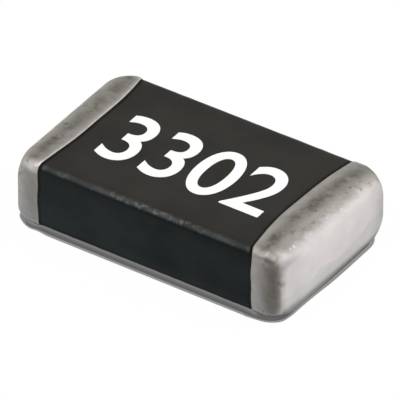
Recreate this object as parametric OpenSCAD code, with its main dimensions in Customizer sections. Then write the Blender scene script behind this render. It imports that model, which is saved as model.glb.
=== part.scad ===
// Surface-mount multilayer ceramic chip capacitor in the 0805 case size, in millimetres.
// A fired ceramic block holds a stack of electrode films that reach its two ends in turn.
// Each end is dipped in copper paste, which is fired and then plated with nickel and tin.
// The origin is the middle of the underside, +X runs along the chip and +Z points up.

/* [Ceramic block] */
// Length of the block between its two end faces
block_l = 1.98; // [1.8:0.01:2.2]
// Width of the block across its two long sides
block_w = 1.182; // [1.0:0.002:1.4]
// Thickness of the block from its underside to its top
block_t = 0.482; // [0.4:0.002:0.8]
// Radius that tumbling leaves along the four long edges
long_edge_r = 0.05; // [0.04:0.002:0.06]
// Length over which the long faces round off before each end face
end_round_l = 0.118; // [0.1:0.002:0.14]
// How far the edge of the end face then lies inside the long faces
end_draw_in = 0.08; // [0.07:0.002:0.1]
// Extra radius of the long edges by the end face, where tumbling wears them most
corner_gain = 0.075; // [0.06:0.005:0.09]

/* [Electrode stack] */
// Number of electrode films in the stack
electrode_n = 20; // [8:2:20]
// Thickness of one electrode film
electrode_t = 0.002; // [0.001:0.0005:0.004]
// Flat of the end face left above the top film and below the lowest one
cover_flat = 0.016; // [0.014:0.002:0.04]
// Flat of the end face left beside the films
margin_flat = 0.08; // [0.07:0.01:0.12]
// Bare ceramic between the blind end of a film and the end face it points at
end_margin = 0.17; // [0.1:0.01:0.3]

/* [Dipped terminations] */
// Reach of the left band's rim inwards from the rounding of the end, at the block's edges
left_band = 0.022; // [0.02:0.002:0.3]
// Reach of the right band's rim inwards from the rounding of the end, at the block's edges
right_band = 0.077; // [0.02:0.002:0.3]
// Extra reach of the left rim at the middle of the top and the underside
left_bulge = 0.037; // [0:0.001:0.1]
// Extra reach of the right rim at the middle of the top and the underside
right_bulge = 0.064; // [0:0.001:0.1]
// Extra reach of the right rim at the middle of the long sides, where the left one is straight
right_side_bulge = 0.014; // [0:0.001:0.04]
// How far the small irregular waves of the rims depart from an even curve
rim_wave = 0.003; // [0:0.0005:0.004]
// Length over which the wetted lip at a rim rises to its full thickness
lip_l = 0.014; // [0.01:0.001:0.016]
// Extra radius of the copper over the long edges, where surface tension thins it
edge_thinning = 0.006; // [0:0.001:0.008]
// How far surface tension draws the edge of the copper's end face in from the long faces
dip_draw_in = 0.043; // [0.035:0.001:0.05]
// Height of the copper's crown over the edge of its end face
end_crown = 0.03; // [0.02:0.001:0.036]

/* [Layer thicknesses] */
// Fired copper on the long faces
copper_side_t = 0.004; // [0.004:0.001:0.008]
// Fired copper in the middle of the end face
copper_end_t = 0.055; // [0.05:0.001:0.07]
// Nickel barrier
nickel_t = 0.002; // [0.001:0.001:0.004]
// Tin plating
tin_t = 0.003; // [0.002:0.001:0.008]

/* [Hidden] */
// Straight steps along each flat and round each corner of a section
TOP_STEPS = 10;
SIDE_STEPS = 4;
CORNER_STEPS = 4;
// Steps up the lip of a rim, round the end of a layer and round the end of the block
LIP_STEPS = 2;
END_STEPS = 4;
BLOCK_END_STEPS = 3;
// Turn in degrees from the long faces to the edge of the end face, on the block and its layers
BLOCK_TURN = 90;
LAYER_TURN = 75;
// Shares of the end face at which a crowned layer has a ring of points
CROWN_SHARES = [2 / 3, 1 / 3];
// Largest corner radius of a section, as a share of its smaller half width
CORNER_LIMIT = 0.9;
// Share of a plating's thickness by which the edge of its end face lies further in
CREEP_IN = 0.5;
// Waves round one rim, their phase in degrees, and the lean of a bulge towards one side
RIM_WAVES = 7;
RIM_PHASE = 40;
RIM_LEAN = 0.15;

plating_t = nickel_t + tin_t;
side_build = copper_side_t + plating_t;
block_mid_z = side_build + block_t / 2;
half_l = block_l / 2;
half_w = block_w / 2;
half_t = block_t / 2;
// Where the long faces stop and the rounding of the ends starts, on the block and its layers
shoulder_x = half_l - end_round_l;
cover_t = end_draw_in + cover_flat;
electrode_pitch = (block_t - 2 * cover_t - electrode_t) / (electrode_n - 1);
electrode_l = block_l - end_margin;
electrode_w = block_w - 2 * (end_draw_in + margin_flat);

COPPER = 0;
NICKEL = 1;
TIN = 2;
// How far each layer's outer surface stands off the block's long faces
STAND_OFF = [copper_side_t, copper_side_t + nickel_t, side_build];

// A rim's reach at the edges, its bulges on the wide faces and on the sides, and its lean
LEFT_RIM = [left_band, left_bulge, 0, -RIM_LEAN];
RIGHT_RIM = [right_band, right_bulge, right_side_bulge, RIM_LEAN];

function electrode_name(k) = str("electrode_", k < 10 ? "0" : "", k);

// Rounded rectangle as a ring of [y, z] points, one side and its corner after another.
// Every ring has the same number of points, so that rings of any size can be joined.
function section(w, t, r) = [
    for (side = [0:3])
        let (
            reach = side % 2 == 0 ? [w, t] : [t, w],
            steps = side % 2 == 0 ? SIDE_STEPS : TOP_STEPS,
            flat = reach[1] - r,
            on_flat = [for (k = [0:steps - 1]) [reach[0], flat * (2 * k / steps - 1)]],
            on_corner = [
                for (k = [0:CORNER_STEPS - 1])
                    let (a = 90 * k / CORNER_STEPS)
                    [reach[0] - r + r * cos(a), flat + r * sin(a)]
            ]
        )
        for (p = concat(on_flat, on_corner))
            [p[0] * cos(90 * side) - p[1] * sin(90 * side), p[0] * sin(90 * side) + p[1] * cos(90 * side)]
];

// The block's section, grown outwards by a stand-off and rounder at its corners by soften
function block_section(off, soften) = section(half_w + off, half_t + off, long_edge_r + off + soften);

// A section as a ring of points in space: xs has one x for all of it, or one for each point
function ring(xs, points) = [
    for (i = [0:len(points) - 1]) [is_list(xs) ? xs[i] : xs, points[i][0], block_mid_z + points[i][1]]
];

// Rings round a rounded end, from the shoulder where the long faces stop to the end face at
// face_x, whose edge lies draw_in inside the long faces
function end_rings(off, soften, face_x, draw_in, turn, steps) = [
    for (k = [0:steps])
        let (
            a = turn * k / steps,
            along = sin(a) / sin(turn),
            inset = draw_in * (1 - cos(a)) / (1 - cos(turn)),
            w = half_w + off - inset,
            t = half_t + off - inset,
            r = min(long_edge_r + off + soften + corner_gain * along, CORNER_LIMIT * min(w, t))
        )
        ring(shoulder_x + (face_x - shoulder_x) * along, section(w, t, r))
];

// The right end of the bare block
block_end = end_rings(0, 0, half_l, end_draw_in, BLOCK_TURN, BLOCK_END_STEPS);
function block_pole(side) = [side * half_l, 0, block_mid_z];

// Reach of the copper's rim inwards from the shoulder, at each point of the block's section
function arch(share) = max(0, 1 - share * share);
function rim_reach(rim) = [
    for (p = block_section(0, 0))
        let (y = p[0] / half_w, z = p[1] / half_t)
        rim[0] + rim[1] * arch(y) * (1 - rim[3] * y) + rim[2] * arch(z)
            + rim_wave * sin(RIM_WAVES * atan2(z, y) + RIM_PHASE)
];

// Outer surface of one layer on the right end, as rings from its rim to the end face.
// The plating creeps over the rim of the layer below it by its own thickness.
function layer_rings(layer, rim) =
    let (
        off = STAND_OFF[layer],
        creep = off - copper_side_t,
        rim_x = [for (reach = rim_reach(rim)) shoulder_x - reach - creep],
        face_x = half_l + copper_end_t - end_crown + creep,
        draw_in = dip_draw_in + CREEP_IN * creep,
        lip = [
            for (k = [0:LIP_STEPS])
                let (a = 90 * k / LIP_STEPS)
                ring(
                    [for (x = rim_x) x + lip_l * (1 - cos(a))],
                    block_section(off * sin(a), edge_thinning * sin(a))
                )
        ],
        end = end_rings(off, edge_thinning, face_x, draw_in, LAYER_TURN, END_STEPS),
        face = [for (p = end[END_STEPS]) [p[1], p[2] - block_mid_z]],
        crown = [for (s = CROWN_SHARES) ring(face_x + end_crown * (1 - s * s), s * face)]
    )
    concat(lip, end, crown);

function layer_pole(layer) = [half_l + copper_end_t + STAND_OFF[layer] - copper_side_t, 0, block_mid_z];

function backwards(list) = [for (j = [len(list) - 1:-1:0]) list[j]];
function to_left(rings) = [for (points = rings) [for (p = points) [-p[0], p[1], p[2]]]];

// Closed surface over a stack of rings, with one point closing each end of the stack.
// The stack runs so that its outer rings come last, towards +X.
// Each panel is split along the diagonal that leaves its ring nearer to the turn, so that
// two pieces that share a stretch of surface share its triangles too.
module skin(first_pole, rings, last_pole, turn) {
    n = len(rings[0]);
    m = len(rings);
    last = 1 + n * m;
    points = concat([first_pole], [for (points = rings) each points], [last_pole]);
    first_fan = [for (i = [0:n - 1]) [0, 1 + i, 1 + (i + 1) % n]];
    panels = [
        for (j = [0:m - 2])
            for (i = [0:n - 1])
                let (
                    a = 1 + j * n + i,
                    b = 1 + j * n + (i + 1) % n,
                    c = b + n,
                    d = a + n
                )
                each j < turn ? [[d, b, a], [d, c, b]] : [[a, c, b], [a, d, c]]
    ];
    last_fan = [for (i = [0:n - 1]) [last, last - n + (i + 1) % n, last - n + i]];
    polyhedron(points, concat(first_fan, panels, last_fan), convexity = 6);
}

// One layer of the right termination: a cup whose inside is the surface that it covers
module cup(layer, rim) {
    outside = layer_rings(layer, rim);
    seat = layer == COPPER ? block_end : layer_rings(layer - 1, rim);
    seat_pole = layer == COPPER ? block_pole(1) : layer_pole(layer - 1);
    skin(seat_pole, concat(backwards(seat), outside), layer_pole(layer), len(seat));
}

// Space of one electrode film, lengthened past the end face that it reaches by extra
module electrode_space(k, extra) {
    z = side_build + cover_t + (k - 1) * electrode_pitch;
    x = k % 2 == 1 ? -half_l - extra : half_l - electrode_l;
    translate([x, -electrode_w / 2, z])
        cube([electrode_l + extra, electrode_w, electrode_t]);
}

// Fired ceramic block, with a slot for each film that it was stacked with
module ceramic_body() {
    slot_extra = end_margin / 2;
    color("#363532")
        difference() {
            skin(
                block_pole(-1),
                concat(to_left(backwards(block_end)), block_end),
                block_pole(1),
                BLOCK_END_STEPS
            );
            for (k = [1:electrode_n]) electrode_space(k, slot_extra);
        }
}

// Printed nickel film: odd films reach the left end of the block, even films the right
module electrode(k) {
    color("#9a978f") electrode_space(k, 0);
}

module right_copper_base() {
    color("#b4714a") cup(COPPER, RIGHT_RIM);
}

module right_nickel_barrier() {
    color("#8d8b83") cup(NICKEL, RIGHT_RIM);
}

module right_tin_plating() {
    color("#b8b4ad") cup(TIN, RIGHT_RIM);
}

module left_copper_base() {
    color("#b4714a") mirror([1, 0, 0]) cup(COPPER, LEFT_RIM);
}

module left_nickel_barrier() {
    color("#8d8b83") mirror([1, 0, 0]) cup(NICKEL, LEFT_RIM);
}

module left_tin_plating() {
    color("#b8b4ad") mirror([1, 0, 0]) cup(TIN, LEFT_RIM);
}

ceramic_body();
for (k = [1:electrode_n]) electrode(k);
left_copper_base();
left_nickel_barrier();
left_tin_plating();
right_copper_base();
right_nickel_barrier();
right_tin_plating();
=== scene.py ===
import math

import bmesh
import bpy
from mathutils import Matrix, Vector, noise


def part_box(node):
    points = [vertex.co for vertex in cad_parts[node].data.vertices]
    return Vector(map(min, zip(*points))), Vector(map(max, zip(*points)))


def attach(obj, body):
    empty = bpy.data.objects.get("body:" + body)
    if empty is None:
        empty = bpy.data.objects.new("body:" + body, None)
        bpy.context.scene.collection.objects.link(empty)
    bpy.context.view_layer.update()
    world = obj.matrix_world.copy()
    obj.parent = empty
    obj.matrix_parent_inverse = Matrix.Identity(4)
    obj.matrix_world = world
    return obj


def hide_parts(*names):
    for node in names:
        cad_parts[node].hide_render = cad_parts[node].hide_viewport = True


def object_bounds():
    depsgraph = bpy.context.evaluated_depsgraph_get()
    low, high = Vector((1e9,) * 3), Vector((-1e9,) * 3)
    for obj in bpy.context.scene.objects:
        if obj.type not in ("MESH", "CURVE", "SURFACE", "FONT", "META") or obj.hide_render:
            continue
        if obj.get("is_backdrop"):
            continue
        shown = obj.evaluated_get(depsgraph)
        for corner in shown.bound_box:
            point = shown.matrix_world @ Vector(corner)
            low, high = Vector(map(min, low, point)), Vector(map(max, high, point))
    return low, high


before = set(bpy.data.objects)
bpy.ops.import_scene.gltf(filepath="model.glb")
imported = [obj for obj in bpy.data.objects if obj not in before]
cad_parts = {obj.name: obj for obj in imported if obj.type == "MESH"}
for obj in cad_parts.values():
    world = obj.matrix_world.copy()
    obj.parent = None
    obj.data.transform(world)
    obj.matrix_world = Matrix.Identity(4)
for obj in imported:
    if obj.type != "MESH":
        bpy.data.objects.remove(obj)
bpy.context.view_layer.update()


# Studio
# The chip stands on a plain pale table in soft light and is seen from its front right corner.
# The table shows white to the camera and keeps the narrow shadow where the chip meets it.

# Blender works in metres. The meshes are made in millimetres and scaled when they are finished.
MM = 0.001

CAMERA_AZIMUTH = math.radians(33.92)
CAMERA_ELEVATION = math.radians(36.18)
LENS_LENGTH = 810
SENSOR_WIDTH = 36
VIEW_WIDTH = 2.529 * MM
VIEW_CENTRE = Vector((0.0095, -0.0175, 0.2229)) * MM
LAMP_DISTANCE = 30 * MM


def direction(azimuth, elevation):
    """Points from the chip to something at that azimuth, measured from the front, and elevation."""
    across = math.cos(elevation)
    return Vector((math.sin(azimuth) * across, -math.cos(azimuth) * across, math.sin(elevation)))


def stand(name, data, azimuth, elevation, distance):
    """Puts a lamp or the camera at a distance from the chip, turned to face it."""
    away = direction(azimuth, elevation)
    stood = bpy.data.objects.new(name, data)
    stood.location = VIEW_CENTRE + away * distance
    stood.rotation_euler = (-away).to_track_quat("-Z", "Y").to_euler()
    bpy.context.scene.collection.objects.link(stood)
    return stood


camera_data = bpy.data.cameras.new("camera")
camera_data.lens = LENS_LENGTH
camera_data.sensor_width = SENSOR_WIDTH
camera_distance = VIEW_WIDTH * LENS_LENGTH / SENSOR_WIDTH
camera_data.clip_start = camera_distance / 10
camera_data.clip_end = camera_distance * 20
bpy.context.scene.camera = stand(
    "camera", camera_data, CAMERA_AZIMUTH, CAMERA_ELEVATION, camera_distance
)
bpy.context.scene.view_settings.view_transform = "Standard"


def softbox(name, azimuth, elevation, size, level):
    """A square lamp: a white card that faces it where the chip stands comes out at that level."""
    lamp = bpy.data.lights.new(name, "AREA")
    lamp.shape = "SQUARE"
    lamp.size = size
    lamp.energy = level * (math.pi * LAMP_DISTANCE) ** 2
    stand(name, lamp, math.radians(azimuth), math.radians(elevation), LAMP_DISTANCE)


softbox("top_softbox", azimuth=70, elevation=70, size=44 * MM, level=0.95)
softbox("right_softbox", azimuth=130, elevation=22, size=34 * MM, level=0.16)
softbox("left_softbox", azimuth=-37, elevation=42, size=12 * MM, level=0.12)


def place(tree, kind, inputs=None, **settings):
    """Adds a shader node with its settings, and its inputs as plain values or as links."""
    added = tree.nodes.new(kind)
    for name, value in settings.items():
        setattr(added, name, value)
    for name, value in (inputs or {}).items():
        if isinstance(value, bpy.types.NodeSocket):
            tree.links.new(value, added.inputs[name])
        else:
            added.inputs[name].default_value = value
    return added


def calculate(tree, operation, *values):
    """Takes values that change over the surface through one kind of arithmetic, in turn."""
    result, *others = values
    for other in others:
        step = place(tree, "ShaderNodeMath", {0: result, 1: other}, operation=operation)
        result = step.outputs[0]
    return result


def multiply(tree, *factors):
    """The product of all the factors."""
    return calculate(tree, "MULTIPLY", *factors)


def ramp(tree, value, start, end, low=0.0, high=1.0):
    """Rises smoothly from low, where the value is start, to high, where it is end."""
    inputs = {"Value": value, 1: start, 2: end, 3: low, 4: high}
    rise = place(tree, "ShaderNodeMapRange", inputs, interpolation_type="SMOOTHSTEP", clamp=True)
    return rise.outputs["Result"]


# The room is pale at the height of the chip, dimmer overhead and dimmest behind the camera
ROOM_LEVEL = 1.0
CEILING_LEVEL = 0.42
CEILING_BAND = (0.15, 0.62)
CAMERA_SIDE_SHARE = 0.35
CAMERA_SIDE_BAND = (0.1, 0.8)

world = bpy.data.worlds.new("room")
world.use_nodes = True
bpy.context.scene.world = world
room = world.node_tree
room.nodes.clear()
room_direction = place(room, "ShaderNodeTexCoord").outputs["Generated"]
height = place(room, "ShaderNodeSeparateXYZ", {"Vector": room_direction}).outputs["Z"]
camera_side = place(
    room, "ShaderNodeVectorMath", {0: room_direction, 1: direction(CAMERA_AZIMUTH, 0)},
    operation="DOT_PRODUCT",
).outputs["Value"]
room_level = multiply(
    room, ramp(room, height, *CEILING_BAND, ROOM_LEVEL, CEILING_LEVEL),
    ramp(room, camera_side, *CAMERA_SIDE_BAND, 1.0, CAMERA_SIDE_SHARE),
)
background = place(room, "ShaderNodeBackground", {"Color": room_level, "Strength": 1.0})
place(room, "ShaderNodeOutputWorld", {"Surface": background.outputs[0]})

TABLE_REACH = 400 * MM
TABLE_SHIFT = TABLE_REACH / 3
TABLE_GAP = 0.0005 * MM
TABLE_GREY = (0.62, 0.62, 0.62, 1)
WHITE_SHARE = 0.97

# The seam between the two triangles of the table runs clear of the chip
table_mesh = bmesh.new()
bmesh.ops.create_grid(
    table_mesh, x_segments=1, y_segments=1, size=TABLE_REACH,
    matrix=Matrix.Translation((TABLE_SHIFT, 0, -TABLE_GAP)),
)
table_data = bpy.data.meshes.new("table")
table_mesh.to_mesh(table_data)
table_mesh.free()
table = bpy.data.objects.new("table", table_data)
bpy.context.scene.collection.objects.link(table)
table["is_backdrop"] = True


def millimetres(tree):
    """X, Y and Z over the object, in millimetres."""
    point = place(tree, "ShaderNodeTexCoord").outputs["Object"]
    scaled = place(
        tree, "ShaderNodeVectorMath", {0: point, "Scale": 1 / MM}, operation="SCALE"
    ).outputs[0]
    split = place(tree, "ShaderNodeSeparateXYZ", {"Vector": scaled}).outputs
    return split["X"], split["Y"], split["Z"]


def away_from(tree, value, line=0.0):
    """How far a value is from a line, to either side."""
    offset = calculate(tree, "SUBTRACT", value, line)
    return place(tree, "ShaderNodeMath", {0: offset}, operation="ABSOLUTE").outputs[0]


def add(tree, *parts):
    """The sum of all the parts."""
    return calculate(tree, "ADD", *parts)


def between(tree, share, first, second):
    """Goes from the first value, where the share is 0, to the second, where it is 1."""
    return ramp(tree, share, 0, 1, first, second)


# The shadow is a narrow strip at the foot of the chip, in millimetres. It is widest along the
# block, narrower round the ends and narrowest beside the near foot of the right end. Openness is
# measured leaning to the back right, so the strip grows on the side that faces the camera.
BLOCK_SHADOW = 0.068
END_SHADOW = 0.051
NEAR_END_SHADOW = 0.033
BLOCK_TO_END = (0.74, 0.86)
NEAR_FOOT_FRONT = (-0.62, -0.46)
NEAR_FOOT_BACK = (0.15, -0.38)
NEAR_FOOT_END = (0.94, 1.02)
SHADOW_LEAN = (0.35, 0.75, 1.0)
SHADOW_SAMPLES = 96

# It thins out at the front corner of the left end and the back corner of the right end, which
# are the two ends of this diagonal. By the first of them it never gets quite dark.
DIAGONAL = Vector((0.83, 0.558))
LEFT_CORNER = (-1.16, -1.08)
LEFT_CORNER_SHARE = 0.65
RIGHT_CORNER = (1.08, 1.16)
RIGHT_CORNER_SHARE = 0.75
PALE_CORNER = (-1.085, -1.115)
PALE_CORNER_LEVEL = 0.21

# Openness and level across the strip: a fine light line at the foot of the block, a dark band, a
# light line, a thin grey line and the white table. The right end has no light line at its foot.
SHADOW_TONES = (
    (0.0, 0.335), (0.35, 0.11), (0.555, 0.108), (0.575, 0.34), (0.63, 0.34), (0.67, 0.22),
    (0.73, 0.24), (0.78, 0.50), (0.80, 1.0),
)
RIGHT_FOOT = (0.74, 0.84)
RIGHT_FOOT_OPENNESS = 0.335

table_paint = bpy.data.materials.new("pale_table")
table_paint.use_nodes = True
tree = table_paint.node_tree
tree.nodes.clear()
x, y, _ = millimetres(tree)
near_foot = multiply(
    tree, ramp(tree, y, *NEAR_FOOT_FRONT), ramp(tree, y, *NEAR_FOOT_BACK),
    ramp(tree, x, *NEAR_FOOT_END),
)
end_shadow = between(tree, near_foot, END_SHADOW, NEAR_END_SHADOW)
diagonal = add(tree, multiply(tree, x, DIAGONAL.x), multiply(tree, y, DIAGONAL.y))
shadow_reach = multiply(
    tree, ramp(tree, away_from(tree, x), *BLOCK_TO_END, BLOCK_SHADOW, end_shadow),
    ramp(tree, diagonal, *LEFT_CORNER, LEFT_CORNER_SHARE, 1.0),
    ramp(tree, diagonal, *RIGHT_CORNER, 1.0, RIGHT_CORNER_SHARE), MM,
)
lean = place(tree, "ShaderNodeVectorMath", {0: SHADOW_LEAN}, operation="NORMALIZE").outputs[0]
openness = place(
    tree, "ShaderNodeAmbientOcclusion", {"Distance": shadow_reach, "Normal": lean},
    samples=SHADOW_SAMPLES,
).outputs["AO"]
right_foot = ramp(tree, x, *RIGHT_FOOT, 0.0, RIGHT_FOOT_OPENNESS)
openness = calculate(tree, "MAXIMUM", openness, right_foot)

tones = place(tree, "ShaderNodeValToRGB", {"Fac": openness})
stops = tones.color_ramp.elements
stops.remove(stops[1])
for number, (position, level) in enumerate(SHADOW_TONES):
    stop = stops.new(position) if number else stops[0]
    stop.color = (level, level, level, 1)
pale_corner = ramp(tree, diagonal, *PALE_CORNER, 0.0, PALE_CORNER_LEVEL)
shown_level = calculate(tree, "MAXIMUM", tones.outputs["Color"], pale_corner)

# The camera, and whatever the tin mirrors, sees the white table. The light sees a pale grey one.
path = place(tree, "ShaderNodeLightPath").outputs
seen = calculate(
    tree, "MAXIMUM", path["Is Camera Ray"], path["Is Glossy Ray"], path["Is Transmission Ray"]
)
painted = place(tree, "ShaderNodeBsdfDiffuse", {"Color": TABLE_GREY})
shown_white = place(tree, "ShaderNodeEmission", {"Color": shown_level, "Strength": 1.0})
lit = place(tree, "ShaderNodeBsdfDiffuse", {"Color": (1, 1, 1, 1)})
table_look = place(
    tree, "ShaderNodeMixShader", {0: WHITE_SHARE, 1: lit.outputs[0], 2: shown_white.outputs[0]}
)
table_surface = place(
    tree, "ShaderNodeMixShader", {0: seen, 1: painted.outputs[0], 2: table_look.outputs[0]}
)
place(tree, "ShaderNodeOutputMaterial", {"Surface": table_surface.outputs[0]})
table_data.materials.append(table_paint)


# Ceramic block
# A stack of black barium titanate tape, pressed, diced and tumbled so that its edges are
# rounded, then fired. The metal films lie inside it.

EDGE_RADIUS = 0.05
END_ROUND_LENGTH = 0.118
BLOCK_DRAW_IN = 0.08
BLOCK_TURN = math.radians(90)
CORNER_GAIN = 0.075
CORNER_LIMIT = 0.9

CORNER_SEGMENTS = 8
WIDE_SEGMENTS = 24
TALL_SEGMENTS = 8
END_STEPS = 10
BLOCK_STEP = 0.02
FACE_SHARES = (0.8, 0.6, 0.4, 0.2)

block_low, block_high = (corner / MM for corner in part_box("ceramic_body"))
half_length = block_high.x
half_width = block_high.y
half_thickness = (block_high.z - block_low.z) / 2
middle = (block_high.z + block_low.z) / 2
shoulder = half_length - END_ROUND_LENGTH


def rounded_loop(mesh, x, wide, tall, radius, foot_depth=0, foot_radius=None):
    """A rounded rectangle across the chip at x, in millimetres, as a closed loop of edges."""
    half_tall = tall + foot_depth / 2
    centre = middle - foot_depth / 2
    across = Matrix(((0, 0, 1, x), (wide, 0, 0, 0), (0, half_tall, 0, centre), (0, 0, 0, 1)))
    corners = bmesh.ops.create_grid(mesh, x_segments=1, y_segments=1, size=1, matrix=across)
    upper = [vert for vert in corners["verts"] if vert.co.z > centre]
    lower = [vert for vert in corners["verts"] if vert.co.z < centre]
    rounded = []
    for pair, size in ((upper, radius), (lower, foot_radius or radius)):
        rounded += bmesh.ops.bevel(
            mesh, geom=pair, offset=size, offset_type="OFFSET", affect="VERTICES",
            segments=CORNER_SEGMENTS, profile=0.5, material=-1,
        )["verts"]
    bmesh.ops.delete(mesh, geom=rounded[0].link_faces[:], context="FACES_ONLY")
    # dict.fromkeys drops repeats and keeps the order, so the mesh is the same on each run
    edges = list(dict.fromkeys(edge for vert in rounded for edge in vert.link_edges))
    flats = sorted(edges, key=lambda edge: edge.calc_length())[-4:]
    for flat in flats:
        runs_wide = abs(flat.verts[0].co.y - flat.verts[1].co.y) > radius / 100
        cuts = (WIDE_SEGMENTS if runs_wide else TALL_SEGMENTS) - 1
        split = bmesh.ops.subdivide_edges(mesh, edges=[flat], cuts=cuts)
        edges += [item for item in split["geom"] if isinstance(item, bmesh.types.BMEdge)]
    return list(dict.fromkeys(edge for edge in edges if edge.is_valid))


def loft(mesh, loops):
    """Joins each loop to the next with a band of faces."""
    for first, second in zip(loops, loops[1:]):
        bmesh.ops.bridge_loops(mesh, edges=first + second)


def rounded_end(mesh, off, soften, face, draw_in, turn, crown, side, squareness=0):
    """Loops round an end from its shoulder to its face, and in over the crown of the face."""
    loops = []
    for step in range(END_STEPS + 1):
        angle = turn * step / END_STEPS
        along = math.sin(angle) / math.sin(turn)
        inset = draw_in * (1 - math.cos(angle)) / (1 - math.cos(turn))
        wide = half_width + off - inset
        tall = half_thickness + off - inset
        radius = EDGE_RADIUS + off + soften + CORNER_GAIN * along
        radius = min(radius, CORNER_LIMIT * min(wide, tall))
        foot_radius = radius - squareness * CORNER_GAIN * along
        foot_depth = squareness * inset
        x = shoulder + (face - shoulder) * along
        loops.append(rounded_loop(mesh, side * x, wide, tall, radius, foot_depth, foot_radius))
    for share in FACE_SHARES:
        x = face + crown * (1 - share * share)
        loops.append(rounded_loop(
            mesh, side * x, share * wide, share * tall, share * radius, share * foot_depth,
            share * foot_radius,
        ))
    return loops


def waver(point, grain, depth):
    """A smooth random depth from 0 to depth that varies over about 1 / grain millimetres."""
    return depth * min(1, max(0, 0.5 + 0.5 * noise.noise(point * grain)))


def finish_piece(name, mesh, material, node):
    """Makes a piece from a mesh in millimetres, in place of a node of the frame."""
    bmesh.ops.scale(mesh, vec=(MM, MM, MM), verts=mesh.verts)
    data = bpy.data.meshes.new(name)
    mesh.to_mesh(data)
    mesh.free()
    data.shade_smooth()
    data.materials.append(material)
    piece = bpy.data.objects.new(name, data)
    bpy.context.scene.collection.objects.link(piece)
    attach(piece, "root")
    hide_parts(node)


def patches_group():
    """Irregular patches: a mask from 0 to 1 of noise, with its size set in patches a millimetre."""
    group = bpy.data.node_groups.new("patches", "ShaderNodeTree")
    interface = group.interface
    for name, value in (("Per millimetre", 10.0), ("Detail", 3.0), ("Start", 0.4), ("End", 0.6)):
        socket = interface.new_socket(name, in_out="INPUT", socket_type="NodeSocketFloat")
        socket.default_value = value
    interface.new_socket("Mask", in_out="OUTPUT", socket_type="NodeSocketFloat")
    given = group.nodes.new("NodeGroupInput").outputs
    point = place(group, "ShaderNodeTexCoord").outputs["Object"]
    scale = calculate(group, "DIVIDE", given["Per millimetre"], MM)
    cloud = place(
        group, "ShaderNodeTexNoise", {"Vector": point, "Scale": scale, "Detail": given["Detail"]}
    ).outputs["Fac"]
    mask = ramp(group, cloud, given["Start"], given["End"])
    place(group, "NodeGroupOutput", {"Mask": mask})
    return group


patches = patches_group()


def patchy(tree, per_mm, detail=3.0, start=0.35, end=0.65):
    """The mask of one layer of irregular patches."""
    inputs = {"Per millimetre": per_mm, "Detail": detail, "Start": start, "End": end}
    added = tree.nodes.new("ShaderNodeGroup")
    added.node_tree = patches
    for name, value in inputs.items():
        added.inputs[name].default_value = value
    return added.outputs["Mask"]


def tint(tree, share, first, second):
    """A colour between two others: the second where the share is 1."""
    mixed = place(tree, "ShaderNodeMix", {0: share, 6: first, 7: second}, data_type="RGBA")
    return mixed.outputs[2]


def relief(tree, height, depth, under=None):
    """Normals of a surface whose height mask stands for a depth in millimetres."""
    inputs = {"Height": height, "Strength": 1.0, "Distance": depth * MM}
    if under is not None:
        inputs["Normal"] = under
    return place(tree, "ShaderNodeBump", inputs).outputs["Normal"]


def surface(name, **constant):
    """A new material with one shader, whose unchanging values are set on it."""
    material = bpy.data.materials.new(name)
    material.use_nodes = True
    shader = material.node_tree.nodes["Principled BSDF"]
    for socket, value in constant.items():
        shader.inputs[socket.replace("_", " ").title().replace("Ior", "IOR")].default_value = value
    return material, material.node_tree, shader


def connect(tree, shader, **changing):
    """Links values that change over the surface to the shader."""
    for socket, value in changing.items():
        tree.links.new(value, shader.inputs[socket.replace("_", " ").title()])


def short_of(tree, value, limit, start, end):
    """Rises to 1 near a limit: it is 0 at start short of it and 1 at end short of it."""
    return ramp(tree, value, limit - start, limit - end)


def along_edges(tree, from_centre, from_middle, over_top, down_side):
    """A share of 1 along the four long edges, which fades in over the top and down the sides."""
    return multiply(
        tree, short_of(tree, from_centre, half_width, *over_top),
        short_of(tree, from_middle, half_thickness, *down_side),
    )


PRESSED_BLACK = (0.0265, 0.0250, 0.0215, 1)
# The blacks of the cut sides are a cooler tint, painted darker than the top as shade
SHADED_CUT_BLACK = (0.0042, 0.0098, 0.0102, 1)
LEFT_SHADED_CUT_BLACK = (0.0088, 0.0152, 0.0155, 1)
SHADED_FOOT_BLACK = (0.0167, 0.0208, 0.0225, 1)
STAIN_BLACK = (0, 0, 0, 1)
# The black of the painted shade along the rims of the metal and under the upper edge
SHADE_BLACK = (0.003, 0.003, 0.0025, 1)
# Paler blacks of wear and chips on the edges, which also make a painted highlight
WORN_AND_HIGHLIGHT_BLACK = (0.068, 0.070, 0.072, 1)
CHIPPED_AND_HIGHLIGHT_BLACK = (0.16, 0.16, 0.16, 1)
STAIN_SHARE = 0.22
UNDER_EDGE_SHADE_SHARE = 0.4
CERAMIC_ROUGHNESS = (0.46, 0.58)

# Where each of these fades in, in millimetres: from the side, the upper edge, the table, the
# middle of the block or the rim of the metal
CUT_SIDE = (0.03, 0.004)
EDGE_OVER_TOP = (0.052, 0.014)
EDGE_DOWN_SIDE = (0.033, 0.012)
UNDER_EDGE = (0.16, 0.05)
PALER_FOOT = (0.13, 0.05)
LEFT_TO_MIDDLE = (-0.35, 0.0)
CHIPS_AT_LEFT = (-0.6, 0.0)
CHIPS_AT_RIGHT = (0.45, 0.6)
RIM_SHADE_REACH = (0.026, 0.0156)
FIRED_RELIEF = 0.0004
CHIP_RELIEF = 0.001

ceramic, tree, shader = surface("fired_black_ceramic", specular_ior_level=0.12, ior=1.5)
x, y, z = millimetres(tree)
from_centre = away_from(tree, y)
from_middle = away_from(tree, z, middle)
on_side = short_of(tree, from_centre, half_width, *CUT_SIDE)
edge = along_edges(tree, from_centre, from_middle, EDGE_OVER_TOP, EDGE_DOWN_SIDE)
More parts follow.
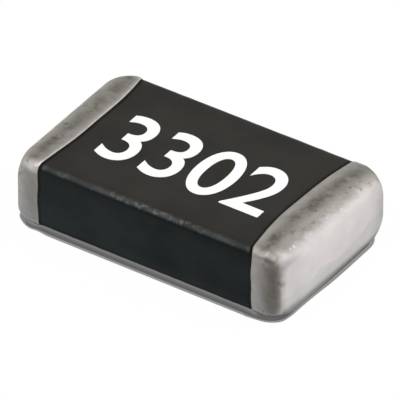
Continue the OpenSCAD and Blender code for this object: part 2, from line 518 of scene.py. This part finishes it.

# The cut sides are a cooler black than the top and are painted darker as shade, less so at the left
# and near the table. A painted shade makes them blackest just under the upper edge.
shaded_cut_face = tint(tree, ramp(tree, x, *LEFT_TO_MIDDLE), LEFT_SHADED_CUT_BLACK, SHADED_CUT_BLACK)
foot = multiply(tree, ramp(tree, z, *PALER_FOOT), ramp(tree, x, *LEFT_TO_MIDDLE, 0.6, 1.0))
shaded_cut_face = tint(tree, foot, shaded_cut_face, SHADED_FOOT_BLACK)
colour = tint(tree, on_side, PRESSED_BLACK, shaded_cut_face)
stains = multiply(tree, patchy(tree, 2.2, 2), STAIN_SHARE)
colour = tint(tree, stains, colour, STAIN_BLACK)
# Painted shade on the sides just under the upper edge
under_edge_shade = multiply(
    tree, short_of(tree, z, block_high.z, *UNDER_EDGE), on_side, UNDER_EDGE_SHADE_SHARE
)
colour = tint(tree, under_edge_shade, colour, SHADE_BLACK)

# Tumbling has worn the edges grey and chipped them, mostly in the middle of the block. The pale
# wear and chips also stand for a painted highlight along the edges.
wear_and_highlight = multiply(tree, edge, between(tree, patchy(tree, 6, 3, 0.3, 0.7), 0.45, 1.0))
colour = tint(tree, wear_and_highlight, colour, WORN_AND_HIGHLIGHT_BLACK)
edge_chips_and_highlight = multiply(
    tree, edge, patchy(tree, 22, 2, 0.52, 0.68), ramp(tree, x, *CHIPS_AT_RIGHT, 0.8, 0.2),
    ramp(tree, x, *CHIPS_AT_LEFT, 0.35, 1.0),
)
colour = tint(tree, edge_chips_and_highlight, colour, CHIPPED_AND_HIGHLIGHT_BLACK)

# A thin line of painted shade follows the rims of the metal, where the lip stands over the block
to_rim = place(tree, "ShaderNodeAttribute", attribute_name="to_rim").outputs["Fac"]
rim_shade = multiply(tree, ramp(tree, to_rim, *RIM_SHADE_REACH), between(tree, patchy(tree, 4, 2), 0.7, 1.0))
colour = tint(tree, rim_shade, colour, SHADE_BLACK)

ceramic_roughness = between(tree, patchy(tree, 5), *CERAMIC_ROUGHNESS)
normal = relief(tree, patchy(tree, 45, 4, 0.2, 0.8), FIRED_RELIEF)
normal = relief(tree, multiply(tree, edge, patchy(tree, 26, 3)), CHIP_RELIEF, normal)
connect(tree, shader, base_color=colour, roughness=ceramic_roughness, normal=normal)

EDGE_WEAR = 0.003
EDGE_WEAR_GRAIN = 22
RIM_WAVE = 0.003
RIM_WAVES = 7
RIM_PHASE = math.radians(40)
LEFT_RIM = {"band": 0.032, "bulge": 0.032, "side_bulge": -0.005, "lean": -0.4, "near_top": 0}
RIGHT_RIM = {"band": 0.077, "bulge": 0.064, "side_bulge": 0.014, "lean": 0.15, "near_top": 0.018}
PLATING_CREEP = 0.005


def rim_reach(point, band, bulge, side_bulge, lean, near_top):
    """How far a termination reaches in from the rounding of the end, at a point of its rim."""
    y = point.y / half_width
    z = (point.z - middle) / half_thickness
    arch_y = max(0, 1 - y * y)
    arch_z = max(0, 1 - z * z)
    wave = math.sin(RIM_WAVES * math.atan2(z, y) + RIM_PHASE)
    corner = min(0, y) ** 2 * max(0, z) ** 8
    bow = bulge * arch_y * (1 - lean * y) + side_bulge * arch_z + near_top * corner
    return band + bow + RIM_WAVE * wave


block = bmesh.new()
block_ends = [
    rounded_end(
        block, off=0, soften=0, face=half_length, draw_in=BLOCK_DRAW_IN, turn=BLOCK_TURN,
        crown=0, side=side,
    )
    for side in (-1, 1)
]
stations = round(2 * shoulder / BLOCK_STEP)
sides = [
    rounded_loop(
        block, shoulder * (2 * station / stations - 1), half_width, half_thickness, EDGE_RADIUS
    )
    for station in range(1, stations)
]
loft(block, block_ends[0][::-1] + sides + block_ends[1])
for outermost in (block_ends[0][-1], block_ends[1][-1]):
    bmesh.ops.edgeloop_fill(block, edges=outermost)
bmesh.ops.recalc_face_normals(block, faces=block.faces)
block.normal_update()
to_rim = block.verts.layers.float.new("to_rim")
for vert in block.verts:
    reach = rim_reach(vert.co, **(RIGHT_RIM if vert.co.x > 0 else LEFT_RIM)) + PLATING_CREEP
    vert[to_rim] = shoulder - reach - abs(vert.co.x)
    tilt = min(abs(vert.normal.y), abs(vert.normal.z)) * math.sqrt(2)
    vert.co -= vert.normal * tilt * waver(vert.co, EDGE_WEAR_GRAIN, EDGE_WEAR)

finish_piece("black_ceramic_block", block, ceramic, "ceramic_body")


# Terminations
# Each end is dipped in copper paste, fired, then barrel plated with nickel and matte tin.
# The paste creeps along the faces, so each rim bows inwards and ends in a thin wetted lip.

LIP_LENGTH = 0.014
LIP_STEPS = 5
BAND_STEPS = 8
EDGE_THINNING = 0.006
DIP_DRAW_IN = 0.0455
DIP_TURN = math.radians(75)
END_CROWN = 0.03
LEFT_SQUARENESS = 0.75
RIGHT_SQUARENESS = 0
TIN_THICKNESS = 0.003
TIN_WAVER = 0.0015
TIN_WAVER_GRAIN = 7

tin_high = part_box("right_tin_plating")[1] / MM
chip_end = tin_high.x
tin_off = tin_high.y - half_width


def tin_cup(side, squareness, **rim):
    """The plated outside of one termination, from the lip at its rim to its crowned end face."""
    mesh = bmesh.new()
    from_rim = mesh.verts.layers.float.new("from_rim")
    loops = []
    for step in range(LIP_STEPS + BAND_STEPS):
        rise = min(1, step / LIP_STEPS)
        angle = math.pi / 2 * rise
        off = tin_off * math.sin(angle)
        lip = LIP_LENGTH * (1 - math.cos(angle))
        share = max(0, (step - LIP_STEPS) / BAND_STEPS)
        loop = rounded_loop(
            mesh, 0, half_width + off, half_thickness + off,
            EDGE_RADIUS + off + EDGE_THINNING * math.sin(angle),
        )
        for vert in {vert for edge in loop for vert in edge.verts}:
            start = shoulder - rim_reach(vert.co, **rim) - PLATING_CREEP + lip
            vert.co.x = side * (start + (shoulder - start) * share)
        loops.append(loop)
    loops += rounded_end(
        mesh, off=tin_off, soften=EDGE_THINNING, face=chip_end - END_CROWN,
        draw_in=DIP_DRAW_IN, turn=DIP_TURN, crown=END_CROWN, side=side, squareness=squareness,
    )
    loft(mesh, loops)
    cap = bmesh.ops.edgeloop_fill(mesh, edges=loops[-1])["faces"]
    tip = bmesh.ops.poke(mesh, faces=cap)["verts"]
    tip_rise = END_CROWN * FACE_SHARES[-1] ** 2
    bmesh.ops.translate(mesh, verts=tip, vec=(side * tip_rise, 0, 0))
    bmesh.ops.recalc_face_normals(mesh, faces=mesh.faces)
    mesh.normal_update()
    for vert in mesh.verts:
        vert[from_rim] = rim_reach(vert.co, **rim) - shoulder + abs(vert.co.x)
        if not vert.is_boundary:
            vert.co -= vert.normal * waver(vert.co, TIN_WAVER_GRAIN, TIN_WAVER)
    bmesh.ops.solidify(mesh, geom=mesh.faces, thickness=TIN_THICKNESS)
    return mesh


PALE_TIN = (0.760, 0.718, 0.708, 1)
SOFT_TIN = (0.715, 0.680, 0.675, 1)
GREY_TIN = (0.665, 0.655, 0.645, 1)
BAND_TIN = (0.56, 0.525, 0.482, 1)
# The side tins are painted darker than the band as shade, and cooler grey towards the foot
SHADED_SIDE_TIN = (0.345, 0.33, 0.31, 1)
SHADED_FOOT_TIN = (0.33, 0.33, 0.328, 1)
DULL_TIN = (0.165, 0.150, 0.133, 1)
GREENISH_TIN = (0.52, 0.497, 0.45, 1)
# The dull tin of the sides, painted darker than the top's as shade
SHADED_SIDE_DULL_TIN = (0.125, 0.113, 0.098, 1)
TARNISH = (0.11, 0.10, 0.088, 1)
CHIPPED_AND_GLINT_TIN = (0.86, 0.84, 0.82, 1)
TIN_ROUGHNESS = (0.44, 0.52)

# Where each of these fades in or out, in millimetres from a long side, a long edge, the end face
# or the table. The streak on top has one value at the front edge and one at the back edge.
TIN_SIDE = (0.035, 0)
RIDGE = (0.07, 0.02)
WIDE_RIDGE_OVER_TOP = (0.085, 0.05)
WIDE_RIDGE_DOWN_SIDE = (0.08, 0.03)
RIGHT_STREAK = (0.086, 0.11)
LEFT_STREAK = (0.14, 0.153)
TOP_STREAK_REACH = (0.078, 0.1)
RIGHT_SIDE_STREAK = 0.108
LEFT_SIDE_STREAK = 0.19
SIDE_STREAK_REACH = 0.15
BEND = 0.13
BEND_REACH = (0.06, 0.02)
END_BORDER = (0.108, 0.066)
END_BORDER_WAVER = 0.018
WIDE_SIDE = (0.05, 0.02)
LOWER_HALF = (0.252, 0.222)
LOWER_HALF_WAVER = 0.1
FOOT_SHADE = (0.125, 0.05)
FOOT_REFLECTION = (0.08, 0.035)
STAIN_RELIEF = 0.0012
PLATED_RELIEF = 0.0006


def either(tree, share, first, second):
    """A value between two others: the second where the share is 1."""
    return place(tree, "ShaderNodeMix", {0: share, 2: first, 3: second}).outputs[0]


def all_but(tree, share):
    """What a share leaves of 1."""
    return calculate(tree, "SUBTRACT", 1.0, share)


tin, tree, shader = surface("matte_tin", metallic=1.0, specular_tint=(0.5, 0.5, 0.5, 1))
x, y, z = millimetres(tree)
from_end = calculate(tree, "SUBTRACT", chip_end, away_from(tree, x))
from_centre = away_from(tree, y)
from_middle = away_from(tree, z, middle)
from_rim = place(tree, "ShaderNodeAttribute", attribute_name="from_rim").outputs["Fac"]

# These are 1 at the left end, on the long sides and along the long edges
left_share = ramp(tree, x, 0.01, -0.01)
on_side = short_of(tree, from_centre, half_width, *TIN_SIDE)
ridge = along_edges(tree, from_centre, from_middle, RIDGE, RIDGE)

# A dull streak runs along the top, beside the rim at the right end and beside the end face at
# the left end, and goes on down the sides
right_line = calculate(tree, "SUBTRACT", from_rim, ramp(tree, y, -0.5, 0.4, *RIGHT_STREAK))
left_line = calculate(tree, "SUBTRACT", from_end, ramp(tree, y, -0.4, 0.4, *LEFT_STREAK))
from_line = away_from(tree, either(tree, left_share, right_line, left_line))
top_streak = ramp(tree, from_line, ramp(tree, y, -0.3, 0.4, *TOP_STREAK_REACH), 0.0)
side_line = between(tree, left_share, RIGHT_SIDE_STREAK, LEFT_SIDE_STREAK)
side_streak = ramp(tree, away_from(tree, from_end, side_line), SIDE_STREAK_REACH, 0.0)
clumps = between(tree, patchy(tree, 11, 3, 0.3, 0.7), 0.5, 1.0)
grain = between(tree, patchy(tree, 30, 5, 0.3, 0.7), 0.75, 1.0)
top_dull = multiply(
    tree, top_streak, clumps, grain, between(tree, left_share, 1.0, 0.85),
    ramp(tree, y, -0.3, 0.3, 1.05, 0.85), ramp(tree, y, -0.42, -0.52, 1.0, 0.75),
)
side_dull = multiply(
    tree, side_streak, between(tree, patchy(tree, 5, 3), 0.8, 1.0),
    between(tree, left_share, 1.0, 0.45), ramp(tree, from_middle, 0.05, 0.2, 1.0, 0.85),
    ramp(tree, z, 0.40, 0.46, 1.0, 0.35),
)
dull = either(tree, on_side, top_dull, side_dull)

# It is rubbed off along the long edges, most of all at the left end. At the right end it gathers
# there again in the bend towards the end face.
rubbed = multiply(tree, ridge, between(tree, left_share, 0.25, 0.95))
dull = multiply(tree, dull, all_but(tree, rubbed))
wide_ridge = along_edges(
    tree, from_centre, from_middle, WIDE_RIDGE_OVER_TOP, WIDE_RIDGE_DOWN_SIDE
)
from_bend = away_from(tree, from_end, BEND)
bend_dull = multiply(
    tree, wide_ridge, ramp(tree, from_bend, *BEND_REACH, 0.0, 0.62), grain,
    between(tree, left_share, 1.0, 0.0),
)
dull = calculate(tree, "MAXIMUM", dull, bend_dull)

# The bright tin of the end face has a ragged border, which lies further out on the sides and at
# the left end
wide_side = short_of(tree, from_centre, half_width, *WIDE_SIDE)
waver_share = all_but(tree, multiply(tree, on_side, 0.8))
border_patches = patchy(tree, 18, 4, 0.2, 0.8)
border_waver = between(tree, border_patches, -END_BORDER_WAVER, END_BORDER_WAVER)
from_border = add(
    tree, from_end, multiply(tree, border_waver, waver_share),
    between(tree, wide_side, 0.0, 0.035), between(tree, left_share, 0.0, 0.042),
    ramp(tree, y, -0.5, 0.55, -0.004, 0.022), ramp(tree, from_centre, 0.4, 0.52, 0.0, 0.014),
)
end_share = ramp(tree, from_border, *END_BORDER)

# The band is a warm grey with greenish patches, painted darker on the sides as shade. The left one
# is duller on top and paler at its edges, with a painted highlight at its lip. A painted highlight
# runs along the long edges, mostly at the left end, and a painted reflection of the table along the
# edge at the foot.
colour = tint(tree, patchy(tree, 6, 2, 0.4, 0.7), BAND_TIN, GREENISH_TIN)
# Painted shade: the sides are darker than the top
shaded_side_colour = tint(tree, ramp(tree, z, 0.35, 0.15), SHADED_SIDE_TIN, SHADED_FOOT_TIN)
colour = tint(tree, on_side, colour, shaded_side_colour)
left_top = multiply(tree, left_share, between(tree, on_side, 0.12, 0.0))
colour = tint(tree, left_top, colour, DULL_TIN)
left_edge = multiply(tree, left_share, ramp(tree, from_end, 0.14, 0.05, 0.0, 0.25), on_side)
# A painted highlight along the lip of the left termination
left_lip_highlight = multiply(
    tree, left_share, ramp(tree, from_rim, 0.03, 0.008, 0.0, 0.4),
    ramp(tree, y, -0.3, 0.4, 0.5, 1.0), between(tree, on_side, 1.0, 0.2),
)
# A painted highlight along the long edges, strongest at the left end
ridge_highlight = multiply(
    tree, ridge, between(tree, left_share, 0.05, 0.8), ramp(tree, z, 0.06, 0.12, 0.25, 1.0)
)
for paler in (left_edge, left_lip_highlight, ridge_highlight):
    colour = tint(tree, paler, colour, PALE_TIN)
# On the sides the dull streak is painted darker as shade
colour = tint(tree, dull, colour, tint(tree, on_side, DULL_TIN, SHADED_SIDE_DULL_TIN))
# A painted reflection of the white table pales the long edges at the foot
foot_height = add(tree, z, between(tree, left_share, 0.0, 0.012))
foot_reflection = multiply(
    tree, ridge, ramp(tree, foot_height, *FOOT_REFLECTION), between(tree, left_share, 1.0, 0.8)
)
colour = tint(tree, foot_reflection, colour, PALE_TIN)
stains = multiply(tree, patchy(tree, 17, 5, 0.35, 0.7), 0.14)
specks = multiply(tree, patchy(tree, 22, 3, 0.6, 0.72), ramp(tree, from_rim, 0.05, 0.09), 0.5)
for tarnished in (stains, specks):
    colour = tint(tree, tarnished, colour, TARNISH)

# The end face is palest in its upper half. It is duller at its long edges, at its upper edge and
# most of all in the near upper corner, and painted dark at the foot as shade.
end_colour = tint(tree, patchy(tree, 7, 4, 0.3, 0.7), PALE_TIN, SOFT_TIN)
half_waver = between(tree, patchy(tree, 2, 2, 0, 1), -LOWER_HALF_WAVER, LOWER_HALF_WAVER)
lower = ramp(tree, add(tree, z, half_waver), *LOWER_HALF)
end_colour = tint(tree, lower, end_colour, GREY_TIN)
foot_line = add(tree, z, ramp(tree, y, -0.5, 0.4, -0.02, 0.01))
for duller in (
    multiply(tree, wide_side, 0.12),
    ramp(tree, z, 0.42, 0.46, 0.0, 0.1),
    multiply(tree, ramp(tree, from_centre, 0.34, 0.48), ramp(tree, y, -0.1, 0.1, 0.12, 0.07)),
    multiply(tree, ramp(tree, z, 0.41, 0.45, 0.0, 0.2), ramp(tree, y, -0.36, -0.5)),
    # painted shade at the foot of the end face
    multiply(tree, ramp(tree, foot_line, *FOOT_SHADE), 0.7),
):
    end_colour = tint(tree, duller, end_colour, DULL_TIN)
colour = tint(tree, end_share, colour, end_colour)

# Bright chips lie along the border, and are also painted glints
chips_and_glints = multiply(
    tree, patchy(tree, 26, 2, 0.66, 0.72), ramp(tree, from_border, 0.12, 0.08),
    ramp(tree, from_end, 0.03, 0.06),
)
colour = tint(tree, chips_and_glints, colour, CHIPPED_AND_GLINT_TIN)

tin_roughness = between(tree, patchy(tree, 12, 4), *TIN_ROUGHNESS)
normal = relief(tree, patchy(tree, 10, 3, 0.2, 0.8), STAIN_RELIEF)
normal = relief(tree, patchy(tree, 40, 4, 0.2, 0.8), PLATED_RELIEF, normal)
connect(tree, shader, base_color=colour, roughness=tin_roughness, normal=normal)

left_cup = tin_cup(-1, LEFT_SQUARENESS, **LEFT_RIM)
right_cup = tin_cup(1, RIGHT_SQUARENESS, **RIGHT_RIM)
finish_piece("left_matte_tin", left_cup, tin, "left_tin_plating")
finish_piece("right_matte_tin", right_cup, tin, "right_tin_plating")


# Inner layers
# Under the tin lie a nickel barrier and the fired copper base, and inside the block the printed
# nickel films. They keep the shapes of the frame and get the finish of the real metals.


def metal(name, bright, dark, per_mm, roughness, depth):
    """A plain metal finish: patches between two colours, changing gloss and a fine relief."""
    material, tree, shader = surface(name, metallic=1.0)
    colour = tint(tree, patchy(tree, per_mm, 4), bright, dark)
    uneven_roughness = between(tree, patchy(tree, per_mm * 2), *roughness)
    normal = relief(tree, patchy(tree, per_mm * 3, 4, 0.2, 0.8), depth)
    connect(tree, shader, base_color=colour, roughness=uneven_roughness, normal=normal)
    return material


def coat(material, *nodes):
    """Gives nodes of the frame their finish."""
    for name in nodes:
        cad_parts[name].material_slots[0].material = material


fired_copper = metal(
    "fired_copper", bright=(0.62, 0.33, 0.20, 1), dark=(0.42, 0.20, 0.12, 1),
    per_mm=18, roughness=(0.45, 0.65), depth=0.0012,
)
nickel_plate = metal(
    "nickel_plate", bright=(0.50, 0.47, 0.42, 1), dark=(0.38, 0.355, 0.32, 1),
    per_mm=14, roughness=(0.28, 0.42), depth=0.0005,
)
nickel_film = metal(
    "sintered_nickel_film", bright=(0.40, 0.38, 0.34, 1), dark=(0.27, 0.255, 0.23, 1),
    per_mm=26, roughness=(0.5, 0.7), depth=0.0006,
)
coat(fired_copper, "left_copper_base", "right_copper_base")
coat(nickel_plate, "left_nickel_barrier", "right_nickel_barrier")
coat(nickel_film, *(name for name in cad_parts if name.startswith("electrode_")))


# Value marking
# The value is printed on the top in white ink, a film a few micrometres thick: three figures and
# the number of noughts after them, in picofarads.

VALUE = "3302"
MARK_LEFT = -0.637
MARK_RIGHT = 0.615
MARK_FRONT = -0.285
MARK_BACK = 0.225
INK_THICKNESS = 0.004
INK_SUNK = 0.001
INK_RELIEF = 0.0005
INK_WHITE = (0.97, 0.97, 0.965, 1)
INK_SHADE = (0.94, 0.94, 0.93, 1)
INK_ROUGHNESS = (0.45, 0.6)
STROKE_GROWTH = 0.008
CURVE_STEPS = 12
SAME_POINT = 0.0001

ink, tree, shader = surface("white_ink", specular_ior_level=0.4)
colour = tint(tree, patchy(tree, 14, 4), INK_WHITE, INK_SHADE)
ink_roughness = between(tree, patchy(tree, 20), *INK_ROUGHNESS)
normal = relief(tree, patchy(tree, 40, 3), INK_RELIEF)
connect(tree, shader, base_color=colour, roughness=ink_roughness, normal=normal)

figures = bpy.data.curves.new("figures", "FONT")
figures.body = VALUE
figures.offset = STROKE_GROWTH
figures.extrude = INK_THICKNESS / 2
figures.resolution_u = CURVE_STEPS
typeset = bpy.data.objects.new("figures", figures)
bpy.context.scene.collection.objects.link(typeset)
shape = typeset.evaluated_get(bpy.context.evaluated_depsgraph_get())
marking = bmesh.new()
marking.from_mesh(bpy.data.meshes.new_from_object(shape))
bpy.data.objects.remove(typeset)
bmesh.ops.remove_doubles(marking, verts=marking.verts, dist=SAME_POINT)
low = Vector(min(vert.co[axis] for vert in marking.verts) for axis in range(3))
high = Vector(max(vert.co[axis] for vert in marking.verts) for axis in range(3))
growth = Vector((
    (MARK_RIGHT - MARK_LEFT) / (high.x - low.x), (MARK_BACK - MARK_FRONT) / (high.y - low.y), 1,
))
bmesh.ops.translate(marking, verts=marking.verts, vec=-low)
bmesh.ops.scale(marking, verts=marking.verts, vec=growth)
mark_corner = (MARK_LEFT, MARK_FRONT, block_high.z - INK_SUNK)
bmesh.ops.translate(marking, verts=marking.verts, vec=mark_corner)
bmesh.ops.scale(marking, vec=(MM, MM, MM), verts=marking.verts)
marking_data = bpy.data.meshes.new("value_marking")
marking.to_mesh(marking_data)
marking.free()
marking_data.materials.append(ink)
value_marking = bpy.data.objects.new("value_marking", marking_data)
bpy.context.scene.collection.objects.link(value_marking)
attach(value_marking, "root")

low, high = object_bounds()
